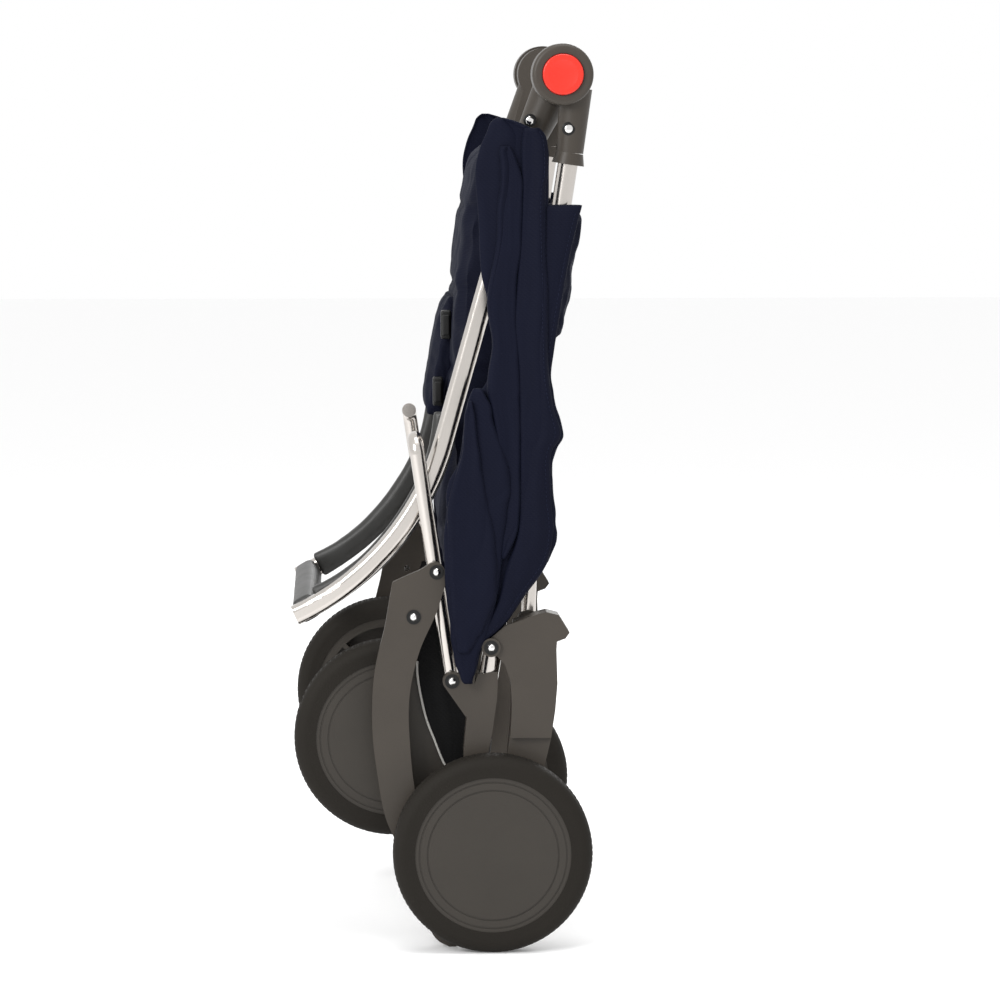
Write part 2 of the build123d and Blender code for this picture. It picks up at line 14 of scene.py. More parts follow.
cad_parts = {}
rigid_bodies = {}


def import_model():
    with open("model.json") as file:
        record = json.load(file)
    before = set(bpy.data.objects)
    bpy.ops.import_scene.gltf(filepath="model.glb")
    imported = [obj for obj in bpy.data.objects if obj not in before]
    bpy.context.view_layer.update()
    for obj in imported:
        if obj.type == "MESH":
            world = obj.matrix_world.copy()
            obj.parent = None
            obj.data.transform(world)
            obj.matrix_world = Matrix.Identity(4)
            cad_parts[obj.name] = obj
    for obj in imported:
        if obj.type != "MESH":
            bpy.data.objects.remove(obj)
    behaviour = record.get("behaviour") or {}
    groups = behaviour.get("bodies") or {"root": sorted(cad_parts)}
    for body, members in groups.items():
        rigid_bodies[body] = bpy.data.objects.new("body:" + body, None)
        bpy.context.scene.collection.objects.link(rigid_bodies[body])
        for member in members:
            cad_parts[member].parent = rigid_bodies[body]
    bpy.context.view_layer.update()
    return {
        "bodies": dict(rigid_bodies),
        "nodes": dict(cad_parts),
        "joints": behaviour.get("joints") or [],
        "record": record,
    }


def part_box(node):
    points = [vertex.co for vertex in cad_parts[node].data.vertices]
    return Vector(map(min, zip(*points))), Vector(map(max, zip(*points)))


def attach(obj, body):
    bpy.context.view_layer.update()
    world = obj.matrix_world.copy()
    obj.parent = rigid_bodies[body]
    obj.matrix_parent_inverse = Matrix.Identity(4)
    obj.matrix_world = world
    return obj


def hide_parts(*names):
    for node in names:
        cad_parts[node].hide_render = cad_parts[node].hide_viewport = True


log = logging.getLogger("stroller")
Point = tuple[float, float, float]


class Side(Enum):
    """The two sides of the stroller, by the sign of Y."""

    NEAR = -1
    FAR = 1

    @property
    def label(self) -> str:
        """Ending that the side's nodes carry."""
        return self.name.lower()


# ---------------------------------------------------------------- shader helpers


class Socket:
    """A shader value that takes part in Python arithmetic by adding Math nodes."""

    def __init__(self, shader: "Shader", output: bpy.types.NodeSocket) -> None:
        """Wrap an output socket of a shader's tree."""
        self.shader = shader
        self.output = output

    def _math(self, operation: str, first: "Socket | float", second: "Socket | float") -> "Socket":
        """Add one Math node and return its value."""
        return self.shader.node("ShaderNodeMath", {"operation": operation}, {0: first, 1: second})

    def __add__(self, other: "Socket | float") -> "Socket":
        """Sum."""
        return self._math("ADD", self, other)

    __radd__ = __add__

    def __sub__(self, other: "Socket | float") -> "Socket":
        """Difference."""
        return self._math("SUBTRACT", self, other)

    def __rsub__(self, other: "Socket | float") -> "Socket":
        """Difference with the number first."""
        return self._math("SUBTRACT", other, self)

    def __mul__(self, other: "Socket | float") -> "Socket":
        """Product."""
        return self._math("MULTIPLY", self, other)

    __rmul__ = __mul__

    def __pow__(self, other: "Socket | float") -> "Socket":
        """Power."""
        return self._math("POWER", self, other)


class Shader:
    """One material's node tree, built by name."""

    def __init__(self, name: str) -> None:
        """Start a material with a Principled shader."""
        self.material = bpy.data.materials.new(name)
        self.material.use_nodes = True
        self.tree = self.material.node_tree
        self.surface = self.tree.nodes["Principled BSDF"]

    def node(self, kind: str, settings: dict | None = None, inputs: dict | None = None,
             output: int | str = 0) -> Socket:
        """Add a node.

        Args:
            kind: the node's type name.
            settings: properties that are set first.
            inputs: values or sockets by input name or index.
            output: which output to return.

        Returns:
            The chosen output as a Socket.
        """
        made = self.tree.nodes.new(kind)
        for key, value in (settings or {}).items():
            setattr(made, key, value)
        for key, value in (inputs or {}).items():
            if isinstance(value, Socket):
                self.tree.links.new(value.output, made.inputs[key])
            else:
                made.inputs[key].default_value = value
        return Socket(self, made.outputs[output])

    def place(self, scale: Point = (1.0, 1.0, 1.0)) -> Socket:
        """Object coordinates, stretched by a scale."""
        where = self.node("ShaderNodeTexCoord", output="Object")
        return self.node("ShaderNodeMapping", {}, {"Vector": where, "Scale": scale})

    def noise(self, scale: float, detail: float = 4.0, stretch: Point = (1.0, 1.0, 1.0)) -> Socket:
        """Noise value in object space."""
        return self.node("ShaderNodeTexNoise", {},
                         {"Vector": self.place(stretch), "Scale": scale, "Detail": detail})

    def mix(self, factor: Socket, low: Sequence[float], high: Sequence[float]) -> Socket:
        """Colour between two colours."""
        made = self.tree.nodes.new("ShaderNodeMix")
        made.data_type = "RGBA"
        self.tree.links.new(factor.output, made.inputs[0])
        made.inputs[6].default_value = (*low, 1.0)
        made.inputs[7].default_value = (*high, 1.0)
        return Socket(self, made.outputs[2])

    def link(self, name: str, value: Socket) -> None:
        """Feed one of the shader's sockets."""
        self.tree.links.new(value.output, self.surface.inputs[name])

    def set(self, **values: float | tuple) -> None:
        """Set the shader's own sockets; an underscore in a name stands for a space."""
        for name, value in values.items():
            self.surface.inputs[name.replace("_", " ")].default_value = value

    def bump(self, height: Socket, strength: float, distance: float) -> None:
        """Relief from a height value."""
        self.link("Normal", self.node("ShaderNodeBump", {}, {
            "Strength": strength, "Distance": distance, "Height": height}, "Normal"))


@dataclass(frozen=True)
class Plastic:
    """Moulded plastic with a fine grain and slight mottling."""

    name: str
    colour: Point
    roughness: float = 0.45
    grain: float = 900.0
    relief: float = 0.25
    coat: float = 0.0

    def build(self) -> bpy.types.Material:
        """Make the material."""
        shader = Shader(self.name)
        mottle = shader.noise(18.0, 3.0)
        shader.link("Base Color", shader.mix(mottle, tuple(c * 0.86 for c in self.colour),
                                             tuple(c * 1.12 for c in self.colour)))
        shader.link("Roughness", mottle * 0.14 + (self.roughness - 0.07))
        shader.bump(shader.noise(self.grain, 2.0), self.relief, 0.0003)
        shader.set(Coat_Weight=self.coat, Coat_Roughness=0.15, Specular_IOR_Level=0.28)
        return shader.material


@dataclass(frozen=True)
class Metal:
    """Polished or turned metal with faint drawing lines."""

    name: str
    colour: Point
    roughness: float
    stretch: Point = (1.0, 1.0, 0.04)

    def build(self) -> bpy.types.Material:
        """Make the material."""
        shader = Shader(self.name)
        lines = shader.noise(420.0, 2.0, self.stretch)
        haze = shader.noise(9.0, 3.0)
        shader.link("Base Color", shader.mix(haze, tuple(c * 0.93 for c in self.colour), self.colour))
        shader.link("Roughness", lines * 0.08 + haze * 0.06 + (self.roughness - 0.05))
        shader.set(Metallic=1.0)
        shader.bump(lines, 0.04, 0.0002)
        return shader.material


@dataclass(frozen=True)
class Cloth:
    """Woven cloth: two crossed sets of threads, soft sheen, and a lighter colour painted in random patches
    as highlight, mixed with slub yarns.
    """

    name: str
    colour: Point
    # Lighter colour: painted highlight in random patches, and also the colour of the real slub yarns.
    worn: Point
    thread: float = 950.0
    roughness: float = 0.72

    def build(self) -> bpy.types.Material:
        """Make the material."""
        shader = Shader(self.name)
        waves = [shader.node("ShaderNodeTexWave", {"bands_direction": axis, "wave_profile": "SIN"},
                             {"Vector": shader.place(), "Scale": self.thread / 6.2832, "Distortion": 1.2,
                              "Detail": 1.0, "Detail Scale": 2.0}, "Fac") for axis in ("DIAGONAL", "Z")]
        weave = waves[0] * 0.5 + waves[1] * 0.5
        # Random patches where the lighter colour is painted in as highlight; the slub noise is real yarn
        # variation.
        highlight_patches = shader.noise(14.0, 5.0, (1.0, 1.0, 0.35))
        slub = shader.noise(160.0, 3.0, (1.0, 1.0, 0.2))
        shader.link("Base Color", shader.mix(highlight_patches * 0.7 + slub * 0.3, self.colour, self.worn))
        shader.link("Roughness", weave * 0.12 + highlight_patches * 0.1 + (self.roughness - 0.08))
        shader.bump(weave * 0.8 + slub * 0.6, 0.35, 0.0004)
        shader.set(Sheen_Weight=0.012, Sheen_Roughness=0.4, Sheen_Tint=(0.35, 0.45, 0.8, 1.0),
                   Specular_IOR_Level=0.1)
        return shader.material


@dataclass(frozen=True)
class Hide:
    """Leather-like grip cover with a pebbled grain."""

    name: str
    colour: Point
    roughness: float = 0.42

    def build(self) -> bpy.types.Material:
        """Make the material."""
        shader = Shader(self.name)
        cells = shader.node("ShaderNodeTexVoronoi", {"feature": "DISTANCE_TO_EDGE"},
                            {"Vector": shader.place(), "Scale": 620.0}, "Distance")
        tone = shader.noise(22.0, 4.0)
        shader.link("Base Color", shader.mix(tone, tuple(c * 0.82 for c in self.colour),
                                             tuple(c * 1.2 for c in self.colour)))
        shader.link("Roughness", tone * 0.16 + (self.roughness - 0.08))
        shader.bump(cells ** 0.5 * 0.8 + tone * 0.3, 0.3, 0.0006)
        return shader.material


@dataclass(frozen=True)
class Tread:
    """Foam rubber with fine pores and dust in the low spots."""

    name: str
    colour: Point

    def build(self) -> bpy.types.Material:
        """Make the material."""
        shader = Shader(self.name)
        pores = shader.noise(700.0, 4.0)
        dust = shader.noise(11.0, 5.0)
        shader.link("Base Color", shader.mix(dust, self.colour, tuple(c * 1.35 for c in self.colour)))
        shader.link("Roughness", pores * 0.2 + 0.62)
        shader.bump(pores, 0.35, 0.0005)
        shader.set(Specular_IOR_Level=0.16)
        return shader.material


class Finishes:
    """Every finish of the stroller, made once."""

    def __init__(self) -> None:
        """Build the materials and the table from the record's slots to them."""
        self.navy = Cloth("navy_cloth", (0.0016, 0.0021, 0.0075), (0.0042, 0.0055, 0.0155)).build()
        self.lining = Cloth("black_mesh_cloth", (0.0022, 0.0022, 0.0024), (0.006, 0.006, 0.0062)).build()
        self.thread = Cloth("sewing_thread", (0.007, 0.009, 0.022), (0.012, 0.015, 0.034), 2600.0).build()
        self.piping = Cloth("light_piping", (0.32, 0.31, 0.29), (0.42, 0.41, 0.39), 2600.0).build()
        self.taupe = Plastic("taupe_plastic", (0.044, 0.037, 0.030), 0.42).build()
        self.disc = Plastic("wheel_disc_plastic", (0.031, 0.0265, 0.0215), 0.48, 1300.0).build()
        self.black = Plastic("black_plastic", (0.0045, 0.0045, 0.0045), 0.4).build()
        self.red = Plastic("red_button_plastic", (0.62, 0.022, 0.010), 0.32, 1500.0, 0.1, 0.25).build()
        self.aluminium = Metal("polished_aluminium", (0.60, 0.565, 0.53), 0.17).build()
        self.steel = Metal("domed_steel", (0.78, 0.77, 0.76), 0.12).build()
        self.hide = Hide("grip_cover", (0.017, 0.0165, 0.015)).build()
        self.tyre = Tread("foam_tyre", (0.0105, 0.0088, 0.0068)).build()
        self.by_slot = {
            "polished_aluminium": self.aluminium, "taupe_plastic": self.taupe, "steel": self.steel,
            "black_plastic": self.black, "red_plastic": self.red, "grip_leather": self.hide,
            "tyre": self.tyre, "wheel_plastic": self.disc, "navy_fabric": self.navy,
            "black_fabric": self.lining,
        }

    def dress_frame(self, frame: dict) -> None:
        """Give every node of the frame its finish by the record's slot."""
        for part in frame["record"]["subparts"]:
            node = frame["nodes"][part["node"]]
            node.data.materials.clear()
            node.data.materials.append(self.by_slot[part["material_slot"]])


# ---------------------------------------------------------------- mesh helpers


def new_piece(name: str, mesh: bpy.types.Mesh, finish: bpy.types.Material,
              smooth: bool = True) -> bpy.types.Object:
    """Put a mesh in the scene under a name with one finish."""
    mesh.materials.clear()
    mesh.materials.append(finish)
    piece = bpy.data.objects.new(name, mesh)
    bpy.context.scene.collection.objects.link(piece)
    mesh.polygons.foreach_set("use_smooth", [smooth] * len(mesh.polygons))
    return piece


def plain_mesh(source: bpy.types.Object, name: str) -> bpy.types.Mesh:
    """Evaluated mesh of an object, with its modifiers applied."""
    graph = bpy.context.evaluated_depsgraph_get()
    mesh = bpy.data.meshes.new_from_object(source.evaluated_get(graph), depsgraph=graph)
    mesh.name = name
    return mesh


def finish_mesh(piece: bpy.types.Object) -> None:
    """Apply every modifier of a piece by swapping in its evaluated mesh."""
    mesh = plain_mesh(piece, piece.name)
    piece.modifiers.clear()
    old = piece.data
    piece.data = mesh
    bpy.data.meshes.remove(old)
    mesh.polygons.foreach_set("use_smooth", [True] * len(mesh.polygons))


def welded_copy(node: bpy.types.Object, name: str, finish: bpy.types.Material) -> bpy.types.Object:
    """Copy of a frame node as one closed mesh."""
    mesh = node.data.copy()
    work = bmesh.new()
    work.from_mesh(mesh)
    bmesh.ops.remove_doubles(work, verts=work.verts, dist=0.00002)
    bmesh.ops.recalc_face_normals(work, faces=work.faces)
    work.to_mesh(mesh)
    work.free()
    return new_piece(name, mesh, finish)


def cloth_area(piece: bpy.types.Object) -> float:
    """Area of one face of a thin closed sheet, in square metres."""
    return sum(face.area for face in piece.data.polygons) / 2


def stations(table: Sequence[Sequence[float]], share: float) -> list[float]:
    """Values between the rows of a table, eased with a smooth curve through them."""
    last = len(table) - 1
    spot = share * last
    index = min(int(spot), last - 1)
    t = spot - index
    rows = [table[max(index - 1, 0)], table[index], table[index + 1], table[min(index + 2, last)]]
    return [0.5 * (2 * b + (c - a) * t + (2 * a - 5 * b + 4 * c - d) * t ** 2
                   + (3 * b - a - 3 * c + d) * t ** 3) for a, b, c, d in zip(*rows)]


# ---------------------------------------------------------------- folded cloth


@dataclass
class FoldedCloth:
    """One hanging layer of folded cloth on a side, given by rows of height, front and back edge."""

    name: str
    side: Side
    edges: Sequence[tuple[float, float, float]]
    reach: float
    depth: float
    folds: float
    lean: float
    seed: float
    thickness: float = 0.0016
    rows: int = 170
    columns: int = 84
    rim_share: float = 0.12
    cap_share: float = 0.03
    origin: Point = (0.0, 0.0, 0.0)

    def relief(self, across: float, down: float) -> float:
        """Height of the folds: sharp creases that wander, and small crumples.

        Args:
            across: share of the width from front to back.
            down: share of the height from the top.

        Returns:
            A height from about 0 to 1.
        """
        wander = noise.noise(Vector((across * 0.9, down * 2.2, self.seed))) * 0.5
        phase = across * self.folds + down * self.lean + wander
        ridge = 0.5 - 0.5 * math.cos(2 * math.pi * phase)
        pleat = 1 - abs(math.sin(math.pi * (phase * 0.8 + 0.35 + down * 0.6)))
        crumple = noise.fractal(Vector((across * 2.0, down * 6.0, self.seed + 5.0)), 0.9, 2.2, 3)
        return 0.6 * ridge + 0.32 * (1 - pleat ** 3) + 0.12 * crumple

    def height(self, across: float, down: float, cap_swell: float = 1.0) -> float:
        """How far the cloth stands out from its reach, lower towards the layer's rim."""
        rim = min(across, 1 - across, self.rim_share) / self.rim_share
        swell = math.sqrt(rim * (2 - rim)) * cap_swell
        return self.depth * (0.12 + 0.88 * swell) * (0.35 + 0.65 * self.relief(across, down))

    def build(self, finish: bpy.types.Material) -> bpy.types.Object:
        """Make the layer as a closed thin sheet.

        Args:
            finish: its cloth.

        Returns:
            The finished piece.
        """
        work = bmesh.new()
        grid = []
        for row in range(self.rows + 1):
            down = row / self.rows
            z, front, back = stations(self.edges, down)
            line = []
            for column in range(self.columns + 1):
                across = column / self.columns
                cap = min(down, 1 - down, self.cap_share) / self.cap_share
                height = self.height(across, down, math.sqrt(cap * (2 - cap)))
                sway = 0.0016 * noise.noise(Vector((across * 2, down * 16, self.seed + 9)))
                x = front + (back - front) * across + sway
                y = self.side.value * (self.reach + height)
                line.append(work.verts.new((self.origin[0] + x, y, self.origin[2] + z)))
            grid.append(line)
        for row in range(self.rows):
            for column in range(self.columns):
                work.faces.new((grid[row][column], grid[row][column + 1],
                                grid[row + 1][column + 1], grid[row + 1][column]))
        bmesh.ops.recalc_face_normals(work, faces=work.faces)
        mesh = bpy.data.meshes.new(self.name)
        work.to_mesh(mesh)
        work.free()
        piece = new_piece(self.name, mesh, finish)
        solid = piece.modifiers.new("Thickness", "SOLIDIFY")
        solid.thickness = self.thickness
        solid.offset = 0.0
        finish_mesh(piece)
        return piece

    def hem(self, inset: float) -> list[Vector]:
        """Line of points just inside the layer's back edge, for its stitching."""
        points = []
        for row in range(6, self.rows - 5, 2):
            down = row / self.rows
            z, front, back = stations(self.edges, down)
            across = 1 - inset / max(back - front, 0.01)
            y = self.side.value * (self.reach + self.height(across, down) + self.thickness * 0.6)
            x = front + (back - front) * across
            points.append(Vector((self.origin[0] + x, y, self.origin[2] + z)))
        return points


# ---------------------------------------------------------------- padded pieces


@dataclass
class PaddedPiece:
    """A stuffed piece swollen by a cloth simulation from the frame's plain solid."""

    node: str
    name: str
    voxel: float = 0.005
    pressure: float = 4.0
    cap: float = 0.006
    shrink: float = 0.0015
    fill: float = 0.6
    wrinkle: float = 0.0008
    groove_axis: int | None = None
    grooves: int = 0
    groove_depth: float = 0.002

    def build(self, frame: dict, finish: bpy.types.Material) -> bpy.types.Object:
        """Swell the node's solid and sew its channels.

        Args:
            frame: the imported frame.
            finish: the cover.

        Returns:
            The finished piece.
        """
        piece = welded_copy(frame["nodes"][self.node], self.name, finish)
        remesh = piece.modifiers.new("Voxels", "REMESH")
        remesh.mode = "VOXEL"
        remesh.voxel_size = self.voxel
        finish_mesh(piece)
        self.move(piece, lambda spot, normal: spot - normal * self.shrink)
        self.inflate(piece)
        low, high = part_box(self.node)
        self.move(piece, lambda spot, normal: spot + normal * self.relief(spot, low, high))
        smooth = piece.modifiers.new("Smooth", "SUBSURF")
        smooth.levels = smooth.render_levels = 1
        finish_mesh(piece)
        return piece

    def relief(self, spot: Vector, low: Vector, high: Vector) -> float:
        """Wrinkles and sewn channels at a point of the cover."""
        value = self.wrinkle * noise.fractal(spot * 28.0, 0.8, 2.1, 4)
        if self.groove_axis is not None:
            share = (spot[self.groove_axis] - low[self.groove_axis]) / (
                high[self.groove_axis] - low[self.groove_axis])
            wave = abs(math.sin(math.pi * share * (self.grooves + 1)))
            value -= self.groove_depth * (1 - min(wave / 0.22, 1.0)) ** 2
        return value

    @staticmethod
    def move(piece: bpy.types.Object, rule: Callable[[Vector, Vector], Vector]) -> None:
        """Shift every vertex by a rule of its place and normal."""
        spots = [rule(vertex.co.copy(), vertex.normal.copy()) for vertex in piece.data.vertices]
        for vertex, spot in zip(piece.data.vertices, spots):
            vertex.co = spot
        piece.data.update()

    def inflate(self, piece: bpy.types.Object) -> None:
        """Run the cloth simulation and keep each point near where it began."""
        start = [vertex.co.copy() for vertex in piece.data.vertices]
        cloth = piece.modifiers.new("Cloth", "CLOTH")
        cloth.settings.use_pressure = True
        cloth.settings.uniform_pressure_force = self.pressure
        cloth.settings.effector_weights.gravity = 0.0
        cloth.settings.quality = 4
        scene = bpy.context.scene
        for step in range(1, 21):
            scene.frame_set(step)
        mesh = plain_mesh(piece, self.name)
        piece.modifiers.clear()
        for vertex, home in zip(mesh.vertices, start):
            step = vertex.co - home
            if step.length > self.cap:
                vertex.co = home + step.normalized() * self.cap
        old = piece.data
        piece.data = mesh
        bpy.data.meshes.remove(old)
        scene.frame_set(1)


# ---------------------------------------------------------------- repeats along a path


class PathRepeater:
    """A Geometry Nodes tree that sets a small solid along a path at a fixed spacing."""

    def __init__(self) -> None:
        """Build the tree: path, even points, capsules turned along it, realised, finished."""
        tree = bpy.data.node_groups.new("RepeatAlongPath", "GeometryNodeTree")
        face = tree.interface
        face.new_socket("Geometry", in_out="INPUT", socket_type="NodeSocketGeometry")
        face.new_socket("Geometry", in_out="OUTPUT", socket_type="NodeSocketGeometry")
        self.names = {}
        sizes = (("Spacing", "NodeSocketFloat", 0.005), ("Length", "NodeSocketFloat", 0.003),
                 ("Radius", "NodeSocketFloat", 0.0004), ("Sides", "NodeSocketInt", 6))
        for label, kind, value in sizes:
            socket = face.new_socket(label, in_out="INPUT", socket_type=kind)
            socket.default_value = value
            self.names[label] = socket.identifier
        socket = face.new_socket("Finish", in_out="INPUT", socket_type="NodeSocketMaterial")
        self.names["Finish"] = socket.identifier
        kinds = {"into": "NodeGroupInput", "path": "GeometryNodeMeshToCurve",
                 "even": "GeometryNodeResampleCurve", "line": "GeometryNodeInputTangent",
                 "turn": "FunctionNodeAlignRotationToVector", "solid": "GeometryNodeMeshCylinder",
                 "set": "GeometryNodeInstanceOnPoints", "real": "GeometryNodeRealizeInstances",
                 "dress": "GeometryNodeSetMaterial", "out": "NodeGroupOutput"}
        made = {key: tree.nodes.new(kind) for key, kind in kinds.items()}
        made["even"].mode = "LENGTH"
        made["turn"].axis = "Z"
        links = (("into", "Geometry", "path", 0), ("path", 0, "even", "Curve"),
                 ("into", "Spacing", "even", "Length"), ("even", 0, "set", "Points"),
                 ("line", 0, "turn", "Vector"), ("turn", 0, "set", "Rotation"),
                 ("into", "Sides", "solid", "Vertices"), ("into", "Radius", "solid", "Radius"),
                 ("into", "Length", "solid", "Depth"), ("solid", 0, "set", "Instance"),
                 ("set", 0, "real", 0), ("real", 0, "dress", "Geometry"),
                 ("into", "Finish", "dress", "Material"), ("dress", 0, "out", 0))
        for source, output, target, entry in links:
            tree.links.new(made[source].outputs[output], made[target].inputs[entry])
        self.tree = tree

    def along(self, name: str, paths: Sequence[Sequence[Vector]], finish: bpy.types.Material,
              spacing: float, length: float, radius: float, sides: int = 6) -> bpy.types.Object:
        """Repeat the solid along paths.

        Args:
            name: the piece's name.
            paths: lists of points.
            finish: the repeat's finish.
            spacing: distance between repeats.
            length: one repeat's length along the path.
            radius: its radius.
            sides: its number of sides.

        Returns:
            One plain mesh object.
        """
        mesh = bpy.data.meshes.new(name)
        points, edges = [], []
        for path in paths:
            first = len(points)
            points += [tuple(point) for point in path]
            edges += [(first + index, first + index + 1) for index in range(len(path) - 1)]
        mesh.from_pydata(points, edges, [])
        holder = bpy.data.objects.new(name + "_path", mesh)
        bpy.context.scene.collection.objects.link(holder)
        modifier = holder.modifiers.new("Repeat", "NODES")
        modifier.node_group = self.tree
        for label, value in (("Spacing", spacing), ("Length", length), ("Radius", radius),
                             ("Sides", sides), ("Finish", finish)):
            modifier[self.names[label]] = value
        result = plain_mesh(holder, name)
        bpy.data.objects.remove(holder)
        return new_piece(name, result, finish)


def tube_mesh(name: str, path: Sequence[Vector], radius: float, sides: int = 12) -> bpy.types.Mesh:
    """Closed round tube along points, with capped ends."""
    work = bmesh.new()
    rings = []
    for index, point in enumerate(path):
        ahead = path[min(index + 1, len(path) - 1)] - path[max(index - 1, 0)]
        across = ahead.cross(Vector((0, 1, 0))).normalized()
        up = across.cross(ahead).normalized()
        rings.append([work.verts.new(point + radius * (across * math.cos(a) + up * math.sin(a)))
                      for a in (2 * math.pi * k / sides for k in range(sides))])
    for one, two in zip(rings, rings[1:]):
        for k in range(sides):
            work.faces.new((one[k], one[(k + 1) % sides], two[(k + 1) % sides], two[k]))
    work.faces.new(rings[0])
    work.faces.new(list(reversed(rings[-1])))
    bmesh.ops.recalc_face_normals(work, faces=work.faces)
    mesh = bpy.data.meshes.new(name)
    work.to_mesh(mesh)
    work.free()
    return mesh


def soft_block(name: str, low: Point, high: Point, bevel: float,
               finish: bpy.types.Material) -> bpy.types.Object:
    """Moulded block with rounded edges between two corners."""
    work = bmesh.new()
    bmesh.ops.create_cube(work, size=1.0)
    for vertex in work.verts:
        vertex.co = Vector([(a + b) / 2 + share * (b - a) for share, a, b in zip(vertex.co, low, high)])
    bmesh.ops.bevel(work, geom=list(work.edges), offset=bevel, segments=4, profile=0.6, affect="EDGES")
    mesh = bpy.data.meshes.new(name)
    work.to_mesh(mesh)
    work.free()
    return new_piece(name, mesh, finish)


# ---------------------------------------------------------------- sub-assemblies


@dataclass(frozen=True)
class Layer:
    """One layer of the folded cloth: its rows, how far out it lies, how full it is and its folds."""

    label: str
    rows: Sequence[tuple[float, float, float]]
    out: float
    depth: float
    folds: float
    lean: float
    seed: float


SIDE_LAYERS = (
    Layer("back", (
        (0.7927, 0.0049, 0.0116), (0.7870, -0.0018, 0.0287), (0.7765, -0.0056, 0.0468),
        (0.7622, -0.0113, 0.0525), (0.7365, -0.0151, 0.0535), (0.6927, -0.0122, 0.0525),
        (0.6479, -0.0094, 0.0535), (0.6194, -0.0037, 0.0544), (0.5784, 0.0001, 0.0544),
        (0.5451, -0.0037, 0.0554), (0.5222, -0.0199, 0.0592), (0.4937, -0.0275, 0.0658),
        (0.4746, -0.0294, 0.0577), (0.4356, -0.0399, 0.0577), (0.3937, -0.0427, 0.0601),
        (0.3651, -0.0437, 0.0487), (0.3432, -0.0427, 0.0335), (0.3146, -0.0389, 0.0144),
        (0.2908, -0.0341, -0.0084), (0.2689, -0.0303, -0.0161), (0.2575, -0.0256, -0.0189),
    ), out=0.0, depth=0.005, folds=1.3, lean=0.6, seed=1.3),
    Layer("rear_flap", (
        (0.7108, 0.0487, 0.0849), (0.6737, 0.0478, 0.0754), (0.6032, 0.0449, 0.0630),
        (0.5508, 0.0411, 0.0554), (0.5222, 0.0382, 0.0601), (0.4937, 0.0363, 0.0671),
        (0.4746, 0.0373, 0.0582), (0.4480, 0.0373, 0.0573), (0.4146, 0.0335, 0.0597),
        (0.3937, 0.0297, 0.0611), (0.3718, 0.0220, 0.0525),
    ), out=0.0012, depth=0.0045, folds=0.9, lean=0.4, seed=4.1),
    Layer("rear_column", (
        (0.7832, 0.0306, 0.0449), (0.7737, 0.0292, 0.0516), (0.7432, 0.0292, 0.0535),
        (0.7241, 0.0292, 0.0501), (0.6794, 0.0268, 0.0501), (0.6356, 0.0239, 0.0516),
        (0.6003, 0.0211, 0.0516), (0.5765, 0.0235, 0.0525), (0.5480, 0.0258, 0.0535),
        (0.5194, 0.0263, 0.0582), (0.4937, 0.0268, 0.0639), (0.4746, 0.0268, 0.0554),
        (0.4356, 0.0263, 0.0554), (0.4003, 0.0249, 0.0582), (0.3718, 0.0163, 0.0516),
        (0.3432, 0.0078, 0.0316), (0.3146, -0.0037, 0.0116), (0.2956, -0.0113, -0.0084),
    ), out=0.0042, depth=0.006, folds=0.8, lean=0.5, seed=7.7),
    Layer("front_column", (
        (0.7660, 0.0087, 0.0163), (0.7603, 0.0078, 0.0192), (0.7365, 0.0087, 0.0278),
        (0.7051, 0.0058, 0.0278), (0.6670, 0.0035, 0.0268), (0.6222, -0.0037, 0.0220),
        (0.5784, 0.0006, 0.0239), (0.5432, -0.0046, 0.0258), (0.5241, -0.0018, 0.0258),
        (0.4765, 0.0058, 0.0263), (0.4480, 0.0078, 0.0258), (0.4099, 0.0078, 0.0249),
        (0.3908, 0.0058, 0.0192), (0.3756, 0.0054, 0.0116),
    ), out=0.0045, depth=0.0075, folds=0.9, lean=0.7, seed=2.9),
    Layer("lobe", (
        (0.5375, -0.0161, -0.0103), (0.5241, -0.0237, -0.0037), (0.5051, -0.0265, 0.0011),
        (0.4699, -0.0299, 0.0125), (0.4480, -0.0408, 0.0173), (0.4289, -0.0432, 0.0154),
        (0.4003, -0.0446, 0.0116), (0.3718, -0.0451, 0.0087), (0.3432, -0.0432, 0.0049),
        (0.3146, -0.0403, -0.0018), (0.2861, -0.0365, -0.0132), (0.2670, -0.0313, -0.0175),
        (0.2565, -0.0265, -0.0199),
    ), out=0.0075, depth=0.0065, folds=0.7, lean=0.4, seed=5.6),
    Layer("lobe_front", (
        (0.5260, -0.0227, -0.0199), (0.5051, -0.0261, -0.0170), (0.4699, -0.0294, -0.0122),
        (0.4384, -0.0394, -0.0056), (0.4099, -0.0422, -0.0008), (0.3784, -0.0427, 0.0035),
        (0.3461, -0.0408, 0.0044), (0.3194, -0.0384, -0.0037), (0.3003, -0.0361, -0.0142),
        (0.2861, -0.0332, -0.0218),
    ), out=0.0105, depth=0.007, folds=0.6, lean=0.3, seed=8.4),
)


@dataclass
class SideCloth:
    """The folded cloth over the tubes on one side, layer over layer."""

    side: Side
    axle_x: float
    layers: Sequence[Layer] = SIDE_LAYERS
    reach: float = 0.2132

    def build(self, finishes: Finishes, repeater: PathRepeater) -> None:
        """Make the layers and their hems, and stand them for the side panel."""
        hems = []
        for layer in self.layers:
            cloth = FoldedCloth(f"side_cloth_{layer.label}_{self.side.label}", self.side, layer.rows,
                                self.reach + layer.out, layer.depth, layer.folds, layer.lean, layer.seed,
                                origin=(self.axle_x, 0.0, 0.0))
            piece = cloth.build(finishes.navy)
            if not hems:
                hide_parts(f"side_panel_{self.side.label}")
            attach(piece, "main_frame")
            length = layer.rows[0][0] - layer.rows[-1][0]
            cloth_area(piece) / length
            hems.append(cloth.hem(0.004))
        stitches = repeater.along(f"side_cloth_stitches_{self.side.label}", hems[1:3], finishes.thread,
                                  0.0042, 0.0026, 0.0003)
        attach(stitches, "main_frame")
        log.info("side cloth %s", self.side.label)


